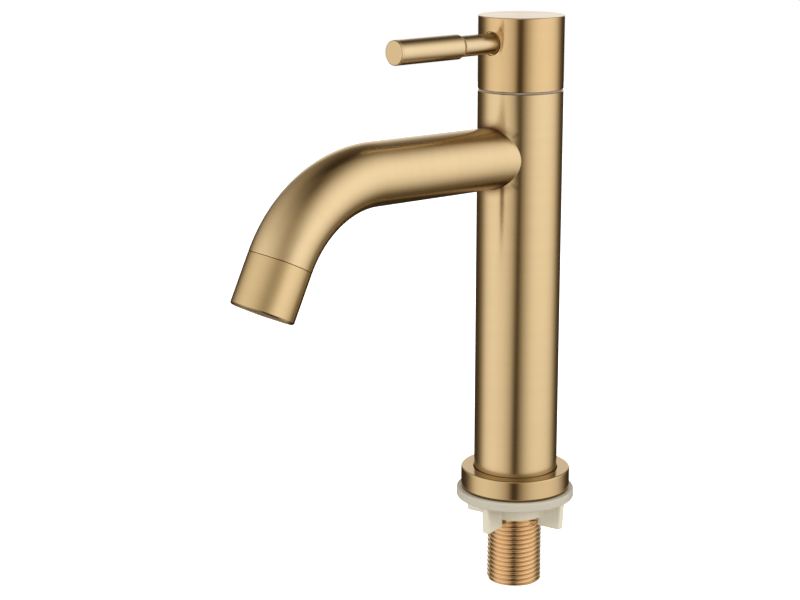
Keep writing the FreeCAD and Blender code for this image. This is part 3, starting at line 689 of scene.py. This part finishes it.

# %% [markdown]
# ## The painted shade at the joint
#
# A soft brown shade is painted where the two tubes are joined, where the corner holds shade. It shows
# above and below the spout, and it is gone within a few millimetres. One small node group works out how
# far a point is from the seam, and both finishes multiply their colour by what it puts out.

# %% Painted shade at the joint
def make_joint_shade_group():
    """A painted brown shade near the seam.

    The distance from the seam is d = |sqrt(x^2 + (z - height)^2) - tube| + 0.45 |sqrt(x^2 + y^2) - column|,
    and the painted shade's share is (1 - d / reach)^2, times a mask for the top and bottom of the tube and
    one for the front.
    """
    tree, start, end = shader_group("painted_joint_shade", [
        ("Vector", "Vector", None), ("Height", "Float", 0.13), ("Tube", "Float", 0.0115),
        ("Column", "Float", 0.016), ("Reach", "Float", 0.004), ("Tint", "Color", None),
    ], [("Colour", "Color")])
    given = start.outputs
    place = add_node(tree, "SeparateXYZ", {0: given["Vector"]}).outputs
    lift = calculate(tree, "SUBTRACT", place["Z"], given["Height"])
    across = product(tree, place["X"], place["X"])

    def beyond(along, edge):
        """How far sqrt(across + along^2) is from an edge."""
        distance = calculate(tree, "SQRT", calculate(tree, "MULTIPLY_ADD", along, along, across))
        return calculate(tree, "ABSOLUTE", calculate(tree, "SUBTRACT", distance, edge))

    distance = calculate(tree, "MULTIPLY_ADD", beyond(place["Y"], given["Column"]), 0.45,
                         beyond(lift, given["Tube"]))
    near = calculate(tree, "SUBTRACT", 1.0, calculate(tree, "DIVIDE", distance, given["Reach"]))
    near = calculate(tree, "POWER", calculate(tree, "MAXIMUM", near, 0.0), 2.0)
    steep = calculate(tree, "DIVIDE", calculate(tree, "ABSOLUTE", lift), given["Tube"])
    share = product(tree, near, step_between(tree, steep, 0.68, 0.95),
                    step_between(tree, place["Y"], 0.0, -0.005))
    colour = blend_colours(tree, share, (1.0, 1.0, 1.0, 1.0), given["Tint"])
    feed(tree, end, {"Colour": colour})
    return tree


joint_shade_group = make_joint_shade_group()
for name in ("gold_column", "gold_spout"):
    material = finishes[name]
    tree = material.node_tree
    # Painted shade: both finishes are darkened brown near the joint.
    shade_node = add_node(tree, "Group", {
        "Vector": add_node(tree, "TexCoord").outputs["Object"], "Height": (spout_z + 0.25) * MM,
        "Tube": spout_r * MM, "Column": column_r * MM, "Tint": (0.30, 0.19, 0.15, 1.0),
    }, node_tree=joint_shade_group)
    recolour(material, "MULTIPLY", {1: shade_node.outputs["Colour"]})
    print("painted joint shade on:", name)

# %% [markdown]
# ## The outlet
#
# The last short length of the spout is a piece of its own, with a fine seam where it meets the bend.
# Both edges at the seam are slightly rounded, so the seam shows as a thin dark line, as a real joint
# does. Its mouth is a round cup that holds the aerator, whose face is almost level with the rim.

# %% Outlet shell
end_places, end_ways = spout_line(np.array([to_bend_end]))
outlet_way = end_ways[0]
outlet_place = end_places[0] + outlet_way * shell_length
shell_end, neck_end = shell_length - 0.05, shell_length + 2.5
cup_r, cup_depth, neck_r, neck_bore = 10.4, 9.0, 10.1, 8.9
shell_profile = rounded([
    (cup_r, 0, 0.15), (spout_r - 0.5, 0, 0.15), (spout_r, 0.5, 0.25), (spout_r, shell_end, seam_round),
    (neck_r, shell_end, 0.1), (neck_r, neck_end, 0.1), (neck_bore, neck_end, 0.1),
    (neck_bore, cup_depth, 0.1), (cup_r, cup_depth, 0.1),
])
shell = aimed(spun(shell_profile, 144), outlet_place, -outlet_way)
make_piece("outlet_tube", shell, "gold_outlet", "tap_body", "brushed_gold", "outlet_shell")
print("outlet at", np.round(outlet_place, 2), "facing", np.round(outlet_way, 3))

# %% [markdown]
# ## The handle
#
# The hub is a cap with a flat top, hollow underneath, with a boss that grips the spindle. The lever
# enters it through a shallow recess, whose shaded ring sets the bar off from the hub. The bar
# carries a slightly thicker grip. The grip is drawn as three pieces, because the bevel at its inner end
# and its rounded tip are polished less than the length between them.

# %% Hub
(_, _, hub_base), (hub_r, _, hub_top) = box_mm("handle_hub")
hub_bore, lever_z, roof_z = hub_r - 1.8, hub_top - 9.54, hub_top - 3.0
boss_r, boss_bore, boss_low, boss_high = 10.0, 6.05, hub_base + 9.13, hub_base + 9.13 + 11.55
hub_profile = rounded([
    (0, boss_high, 0), (boss_bore, boss_high, 0.15), (boss_bore, boss_low, 0.15), (boss_r, boss_low, 0.2),
    (boss_r, roof_z, 0.3), (hub_bore, roof_z, 0.3), (hub_bore, hub_base, 0.12), (hub_r, hub_base, 0.15),
    (hub_r, hub_top, 0.35), (0, hub_top, 0),
], closed=False)
hub_rows = lever_z + np.arange(-9.0, 6.5, 1.0)
lever_hole = {"degrees": -90.0, "z": lever_z, "window": 6.0, "recess_r": 4.4, "hole_r": 3.9,
              "floor": 15.1, "round": 0.15}
screw_hole = {"degrees": 90.0, "z": hub_base + 13.13, "window": 4.0, "recess_r": 2.55, "hole_r": 2.55,
              "floor": None, "round": 0.25}
hub = pierced(hub_profile, (hub_r, hub_bore), hub_rows, [lever_hole, screw_hole], closed=False)
make_piece("hub_cap", hub, "gold_hub", "handle", "brushed_gold", "handle_hub")

# %% Lever bar and grip
(_, grip_tip, _), (grip_r, grip_root, _) = box_mm("lever_grip")
grip_near, grip_far = -grip_root, -grip_tip
rod_r, rod_start, taper, tip_round, crease = 3.8, 10.05, 1.6, 1.3, 0.015
bevel_end, tip_start = grip_near + taper, grip_far - tip_round
lever_pieces = [
    ("lever_bar", "lever_rod", "gold_lever", (rod_r, rod_start, 0.2), (rod_r, grip_near, 0.12)),
    ("lever_grip_bar", "lever_grip", "gold_lever", (grip_r, bevel_end, crease), (grip_r, tip_start, crease)),
    ("lever_grip_tip", "lever_grip", "gold_tip", (grip_r, tip_start, crease), (grip_r, grip_far, tip_round)),
    ("lever_grip_cone", "lever_grip", "gold_tip", (rod_r, grip_near, 0.12), (grip_r, bevel_end, crease)),
]
for name, node, finish, near, far in lever_pieces:
    profile = rounded([(0, near[1], 0), near, far, (0, far[1], 0)], closed=False)
    surface = aimed(spun(profile, 96, closed=False), (0, 0, lever_z), (0, -1, 0))
    make_piece(name, surface, finish, "handle", "brushed_gold", node)

# %% [markdown]
# ## The trim ring
#
# A thin grey plastic ring fills the joint between the column and the hub. Its rim stays just inside
# both, so it reads as a fine pale line between two golden edges. A skirt below it keeps it centred in
# the column.

# %% Trim ring
(_, _, skirt_low), (ring_r, _, rim_top) = box_mm("trim_ring")
rim_r, skirt_r = ring_r + 0.2, column_bore - 0.05
ring_profile = rounded([
    (skirt_r - 1.0, skirt_low, 0.1), (skirt_r, skirt_low, 0.1), (skirt_r, column_high[2], 0.05),
    (rim_r, column_high[2], 0.1), (rim_r, rim_top, 0.1), (skirt_r - 1.0, rim_top, 0.1),
])
make_piece("joint_ring", spun(ring_profile, 160), "grey_plastic", "tap_body", "grey_plastic", "trim_ring")

# %% [markdown]
# ## The threaded shank
#
# A pipe thread is a ridge that climbs once round the shank for each pitch. The solid has plain rings
# instead, because a helix is heavy and nothing here measures it. For the eye it should climb. The lower
# end is cut straight through the thread and chamfered, and the upper end fades out gently, as a die
# leaves it. So the radius of a fine grid is lifted by a ridge whose place depends on the height and on
# the angle together.

# %% Shank
shank_low, shank_high = box_mm("threaded_shank")[:, 2]
crest_r, pitch, depth, flank = 10.4775, 1.8143, 1.162, math.tan(math.radians(27.5))
root_r, shank_bore, plug_r, end_chamfer = crest_r - depth, 6.5, 9.9975, 0.45
thread_low, thread_turns, shank_columns = shank_low + 1.19, 18, 144
worn_above, worn_by = -13.5, 0.2


def ridge_height(offset):
    """Height of the thread at an offset along Z from a crest's middle: flat, flank, flat, rounded corners."""
    foot = pitch / 2 - (pitch / 2 - depth * flank) / 2
    top = foot - depth * flank
    shape = rounded([(-pitch, 0, 0), (-foot, 0, 0.22), (-top, depth, 0.22), (top, depth, 0.22),
                     (foot, 0, 0.22), (pitch, 0, 0)], closed=False)
    return np.interp(offset, shape[:, 0], shape[:, 1])


def smooth(value):
    """3 v^2 - 2 v^3 for v held between 0 and 1."""
    held = np.clip(value, 0, 1)
    return held * held * (3 - 2 * held)


def threaded(surface, ring, columns):
    """Lifts the root rows of a spun grid into a right-handed thread.

    t = (z - thread_low) / pitch - a / 2 pi counts the ridges at height z and angle a. The whole part of t
    says which turn it is and the rest where in the turn. The distance along the helix is the whole part
    plus a / 2 pi, and the ridge fades out over the last part of a turn. The end cuts straight through it,
    with a chamfer: the lift is at most depth - chamfer + (z - end).
    """
    points = surface[0].copy()
    grid = points[: len(ring) * columns].reshape(len(ring), columns, 3)
    reach, height = ring[:, :1], ring[:, 1:]
    share = np.arange(columns)[None, :] / columns
    count = (height - thread_low) / pitch - share
    turn_number = np.floor(count)
    fade = smooth((thread_turns - (turn_number + share)) / 0.4)
    lower_top = 1 - worn_by / depth * smooth((height - worn_above) / pitch)
    lift = ridge_height((count - turn_number - 0.5) * pitch) * fade * lower_top
    lift = np.minimum(lift, depth - end_chamfer + np.maximum(height - shank_low - 0.05, 0))
    on_root = (reach > root_r - 0.06) & (height < 1.9)
    grid[..., :2] *= (1 + np.where(on_root, lift, 0) / reach)[..., None]
    return (points,) + surface[1:]


shank_profile = rounded([
    (shank_bore, shank_low, 0.3), (root_r, shank_low, 0.05), (root_r, ledge_z, 0.1),
    (plug_r, ledge_z, 0.15), (plug_r, shank_high, 0.3), (shank_bore, shank_high, 0.3),
])
thread_rows = np.arange(shank_low + 0.1, thread_low + (thread_turns + 1.2) * pitch, pitch / 26)
shank_profile = with_rows(shank_profile, root_r, thread_rows)
shank = threaded(spun(shank_profile, shank_columns), shank_profile, shank_columns)
make_piece("shank_thread", shank, "gold_thread", "tap_body", "gold_brass", "threaded_shank")

# %% [markdown]
# ## The washer and the nut
#
# Under the basin a thick plastic disc presses against the glaze, and a nut with four wings pulls it up
# by hand. Both are moulded, so their corners are rounder than the metal's and their faces are dull. The
# disc has a low step round its rim, which leaves room for the dark bead that paints the shadow under the
# foot ring. A wing is a stack of rounded outlines: each level has the same number of points, and the
# outer end leans in towards the bottom. A little flare where a wing leaves the nut's ring takes the strain.

# %% Clamp washer
(_, _, washer_low), (washer_r, _, _) = box_mm("clamp_washer")
washer_hole, step_r, step_low = 11.2775, 20.0, -0.8
washer_profile = rounded([
    (washer_hole, washer_low, 0.4), (washer_r, washer_low, 0.4), (washer_r, step_low, 0.45),
    (step_r, step_low, 0.15), (step_r, 0, 0.15), (washer_hole, 0, 0.4),
])
washer = spun(washer_profile, 160)
make_piece("washer_disc", washer, "white_disc", "clamp_washer", "white_plastic", "clamp_washer")

# %% Back nut
nut_low, nut_high = box_mm("back_nut")[:, 2]
nut_bore, nut_ring_r, nut_ring_low = crest_r + 0.1, crest_r + 2.5, nut_high - 6.8
wing_half, wing_start, wing_end, wing_lean = 1.55, nut_bore + 0.8, washer_r - 1.0, 0.6
nut_profile = rounded([(nut_bore, nut_ring_low, 0.5), (nut_ring_r, nut_ring_low, 0.35),
                       (nut_ring_r, nut_high, 0.2), (nut_bore, nut_high, 0.3)])
make_piece("nut_ring", spun(nut_profile, 128), "white_nut", "back_nut", "white_plastic", "back_nut")


def wing_surface(degrees, edge=0.4):
    """Stacked outlines from the wing's low edge to its top, each a rounded box seen from above.

    An edge of radius e is made by outlines that shrink by e (1 - sin a) while they rise by e (1 - cos a).
    """
    bend = np.linspace(0, math.pi / 2, 6)
    round_z, round_in = edge * (1 - np.cos(bend)), edge * (1 - np.sin(bend))
    middle = np.array([nut_low + 0.6, nut_ring_low - 0.5, nut_ring_low, nut_ring_low + 0.5,
                       nut_high - 2.5, nut_high - 0.6])
    heights = np.concatenate([[nut_low], nut_low + round_z, middle, (nut_high - round_z)[::-1],
                              [nut_high]])
    insets = np.concatenate([[edge + 0.25], round_in, 0 * middle, round_in[::-1], [edge + 0.25]])
    flares = 0.05 + 0.85 * smooth((heights - nut_ring_low + 0.5) / 1.0)
    rows = []
    for height, inset, flare in zip(heights, insets, flares):
        end = wing_end - wing_lean * (nut_high - height) / (nut_high - nut_low) - inset
        side = wing_half - inset
        near_side = [(wing_start + inset, -side, 0.3), (nut_ring_r - 0.6, -side - flare, 0.1),
                     (nut_ring_r + 0.9, -side, 1.6), (end, -side, 0.75 - inset)]
        far_side = [(x, -y, corner) for x, y, corner in near_side[::-1]]
        outline = rounded(near_side + far_side, steps=6)
        rows.append(np.column_stack([outline, np.full(len(outline), height)]))
    grid = np.array(rows)
    levels, count = grid.shape[:2]
    angle = math.radians(degrees)
    turned = np.array([[math.cos(angle), math.sin(angle), 0], [-math.sin(angle), math.cos(angle), 0],
                       [0, 0, 1]])
    length = distances(grid[0, :, :2])
    radius = (length[-1] + 1.0) / (2 * math.pi)
    top = (levels - 1) * count + np.arange(count)
    faces = [grid_faces(levels, count, False), np.arange(count)[None, ::-1], top[None, :]]
    return (grid.reshape(-1, 3) @ turned, faces, np.tile(length / radius, levels), grid[..., 2].ravel(),
            np.full(levels * count, radius))


for number in range(4):
    wing = wing_surface(12.86 + 90 * number)
    make_piece(f"nut_wing_{number + 1}", wing, "white_nut", "back_nut", "white_plastic", "back_nut")

# %% [markdown]
# ## What the tap holds inside
#
# The riser pipe, the valve block and the ceramic cartridge stay as the solids that the model measured.
# The metal, ceramic and moulded ones get finishes of their own, so a cut or an exploded view looks
# right. The rubber seals and the bush on the spindle keep the plain black and grey that come with the
# model. The cup of the aerator and the grub screw at the back of the hub can be seen from outside, and
# they are already as fine as they need to be. The aerator's cup is coloured dark brown, which paints the
# shade inside the spout's mouth.

# %% Finishes of the kept solids
kept_finishes = {
    "turned_brass": ["base_insert", "riser_tube", "valve_block", "cartridge_body", "spindle"],
    "inner_plastic": ["thrust_washer"],
    # Painted shade: the aerator's dark brown stands for the shade inside the spout's mouth.
    "mouth_painted_shade": ["aerator_cage"],
    "lapped_ceramic": ["fixed_disc", "moving_disc"],
    "bare_steel": ["aerator_screen", "spindle_clip", "grub_screw"],
}
for finish, names in kept_finishes.items():
    for name in names:
        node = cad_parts[name]
        node.data.materials.clear()
        node.data.materials.append(finishes[finish])
print("kept solids with a new finish:", sum(len(names) for names in kept_finishes.values()))

# %% [markdown]
# ## The floor and the white around it
#
# A catalogue picture of a tap is cut out on white. The floor keeps a soft shadow under the tap, and
# away from the tap it turns pure white. It glows only for the camera, so it adds no light to the tap.
# The metal doesn't see the floor at all: the real tap was photographed in a studio whose floor was far
# below it.

# %% Floor
floor_r, floor_gap = 1.6, 0.0002
rim = np.linspace(0, 2 * math.pi, 97)[:-1]
floor_mesh = bpy.data.meshes.new("floor")
floor_points = [(floor_r * math.cos(a), floor_r * math.sin(a), shank_low * MM - floor_gap) for a in rim]
floor_mesh.from_pydata(floor_points, [], [list(range(len(rim)))])
floor = bpy.data.objects.new("floor", floor_mesh)
bpy.context.scene.collection.objects.link(floor)
floor.visible_glossy = False
floor_look = bpy.data.materials.new("floor_white")
floor_look.use_nodes = True
tree = floor_look.node_tree
from_tap = add_node(tree, "VectorMath", {0: add_node(tree, "TexCoord").outputs["Object"]},
                    operation="LENGTH").outputs["Value"]
glow = calculate(tree, "MULTIPLY_ADD", step_between(tree, from_tap, 0.12, 0.5), 0.3, 0.72)
seen = add_node(tree, "LightPath").outputs["Is Camera Ray"]
feed(tree, tree.nodes["Principled BSDF"], {
    "Base Color": (0.8, 0.8, 0.8, 1.0), "Roughness": 1.0, "Specular IOR Level": 0.0,
    "Emission Color": (1.0, 1.0, 1.0, 1.0), "Emission Strength": product(tree, glow, seen),
})
floor_mesh.materials.append(floor_look)
print("floor at", round(floor_points[0][2] / MM, 1), "mm")

# %% [markdown]
# ## The light
#
# Brushed metal shows the room more than its own colour, so the room is drawn first. The bands on the
# tube say what stood round the real tap: a tall light box at each side, with a gap between them where
# the camera stood, and black flags at the edges of the picture that draw a dark line down each side of
# the tube. A white wall behind closes the ring, and a dim table lies low at both sides. The left box
# reaches further down than the right one. Higher up the gap fills with light from above, so the
# spout's end has a paler stripe than the column. The curves below say how bright the room is by the
# angle round from the camera and by the height above the horizon.

# %% Curves of the room
BOX_LOW = [
    (-180, .05), (-150, .05), (-138, .06), (-127, .11), (-112, .33), (-97, .69), (-82, .88), (-67, .92),
    (-52, .87), (-37, .80), (-26, .69), (-19, .56), (-14, .40), (-10, .235), (-6, .10), (-2, .055),
    (2, .075), (6, .165), (10, .28), (14, .39), (19, .53), (26, .68), (37, .87), (52, .98), (67, 1.0),
    (82, .97), (97, .86), (112, .60), (127, .26), (142, .08), (157, .05), (180, .05),
]
BOX_HIGH = [
    (-180, .12), (-157, .20), (-142, .30), (-127, .43), (-112, .58), (-97, .72), (-82, .82), (-67, .86),
    (-52, .84), (-37, .78), (-26, .71), (-19, .65), (-14, .60), (-6, .52), (2, .46), (10, .42), (19, .44),
    (26, .48), (37, .61), (52, .84), (67, .97), (82, 1.0), (97, .95), (112, .74), (127, .44), (142, .22),
    (157, .12), (180, .12),
]
BY_HEIGHT = [
    (-90, .02), (-60, .09), (-45, .32), (-35, .57), (-25, .77), (-15, .89), (-5, .98), (5, 1.0),
    (15, 1.0), (25, .97), (35, .88), (45, .74), (55, .55), (65, .34), (75, .19), (85, .13), (90, .13),
]
LEFT_BY_HEIGHT = [
    (-90, .02), (-72, .04), (-62, .12), (-55, .32), (-45, .62), (-35, .78), (-25, .89), (-15, .97),
    (-5, 1.01), (5, 1.0), (90, 1.0),
]
WALL, TABLE, GAIN, WARM_G, WARM_B = 1.08, 0.45, 1.04, 1.097, 1.262


def curve(tree, value, points, reach):
    """Looks a value between -reach and reach up in a smooth curve through (value, level) points."""
    share = add_node(tree, "MapRange", {"Value": value, "From Min": -reach, "From Max": reach}).outputs[0]
    node = add_node(tree, "FloatCurve", {"Value": share})
    line = node.mapping.curves[0]
    line.points[0].location = (0.0, points[0][1])
    line.points[1].location = (1.0, points[-1][1])
    for place, level in points[1:-1]:
        line.points.new((place + reach) / (2 * reach), level)
    for point in line.points:
        point.handle_type = "AUTO_CLAMPED"
    node.mapping.update()
    return node.outputs[0]


# %% Studio world
def make_studio():
    """A world that is white for the camera and a studio for everything else.

    The level is the larger of boxes by angle times boxes by height, and of the wall and the table. Green
    and blue are powers of it, so darker parts of the room are warmer.
    """
    world = bpy.data.worlds.new("studio")
    world.use_nodes = True
    tree = world.node_tree
    tree.nodes.clear()
    way = add_node(tree, "TexCoord").outputs["Generated"]
    turned = add_node(tree, "VectorRotate", {"Vector": way, "Angle": -camera_azimuth},
                      rotation_type="Z_AXIS")
    x, y, z = add_node(tree, "SeparateXYZ", {0: turned.outputs[0]}).outputs
    angle = calculate(tree, "DEGREES", calculate(tree, "ARCTAN2", y, x))
    height = calculate(tree, "DEGREES", calculate(tree, "ARCSINE", z))
    aside = calculate(tree, "ABSOLUTE", angle)
    by_angle = blend(tree, step_between(tree, height, -8.0, 18.0), curve(tree, angle, BOX_LOW, 180.0),
                     curve(tree, angle, BOX_HIGH, 180.0))
    left = product(tree, step_between(tree, angle, -20.0, -45.0), step_between(tree, height, 5.0, -5.0))
    by_height = blend(tree, left, curve(tree, height, BY_HEIGHT, 90.0),
                      curve(tree, height, LEFT_BY_HEIGHT, 90.0))
    boxes = product(tree, by_angle, by_height)
    wall = product(tree, step_between(tree, aside, 148.0, 166.0), step_between(tree, height, -3.5, 7.5),
                   step_between(tree, height, 48.0, 0.0), WALL)
    table = product(tree, step_between(tree, height, -52.0, -66.0), step_between(tree, aside, 60.0, 100.0),
                    TABLE)
    behind = calculate(tree, "MAXIMUM", wall, table)
    level = product(tree, calculate(tree, "MAXIMUM", boxes, behind), GAIN)
    green, blue = calculate(tree, "POWER", level, WARM_G), calculate(tree, "POWER", level, WARM_B)
    room = add_node(tree, "CombineColor", {"Red": level, "Green": green, "Blue": blue})
    seen = add_node(tree, "LightPath").outputs["Is Camera Ray"]
    shown = blend_colours(tree, seen, room.outputs[0], (1.0, 1.0, 1.0, 1.0))
    background = add_node(tree, "Background", {"Color": shown, "Strength": 1.0})
    output = add_node(tree, "OutputWorld")
    tree.links.new(background.outputs[0], output.inputs["Surface"])
    world.cycles.sampling_method = "NONE"
    return world


bpy.context.scene.world = make_studio()
print("room curves:", len(BOX_LOW), "points low,", len(BOX_HIGH), "high and", len(BY_HEIGHT), "by height")

# %% [markdown]
# ## Lamps for the dull parts
#
# The plastic and the rubber scatter light, so they show how much light falls on them and not what
# stands round. Three large soft lamps bring them to about their own colour. They don't show in the
# metal's reflections, which the studio alone decides.

# %% Lamps
facing = math.degrees(camera_azimuth)
for name, azimuth, elevation, watts in [
    ("lamp_right", facing + 60, 25, 5), ("lamp_left", facing - 60, 25, 5), ("lamp_top", facing, 75, 3.5),
]:
    light = bpy.data.lights.new(name, "AREA")
    light.energy, light.size = watts, 0.6
    lamp = bpy.data.objects.new(name, light)
    around, above = math.radians(azimuth), math.radians(elevation)
    way = Vector((math.cos(above) * math.cos(around), math.cos(above) * math.sin(around), math.sin(above)))
    lamp.location = way * 1.1 + Vector((0, 0, 0.05))
    lamp.rotation_mode = "QUATERNION"
    lamp.rotation_quaternion = way.to_track_quat("Z", "Y")
    lamp.visible_camera = False
    lamp.visible_glossy = False
    bpy.context.scene.collection.objects.link(lamp)
    print(f"{name}: {watts} W from {azimuth:.0f}, {elevation} degrees")
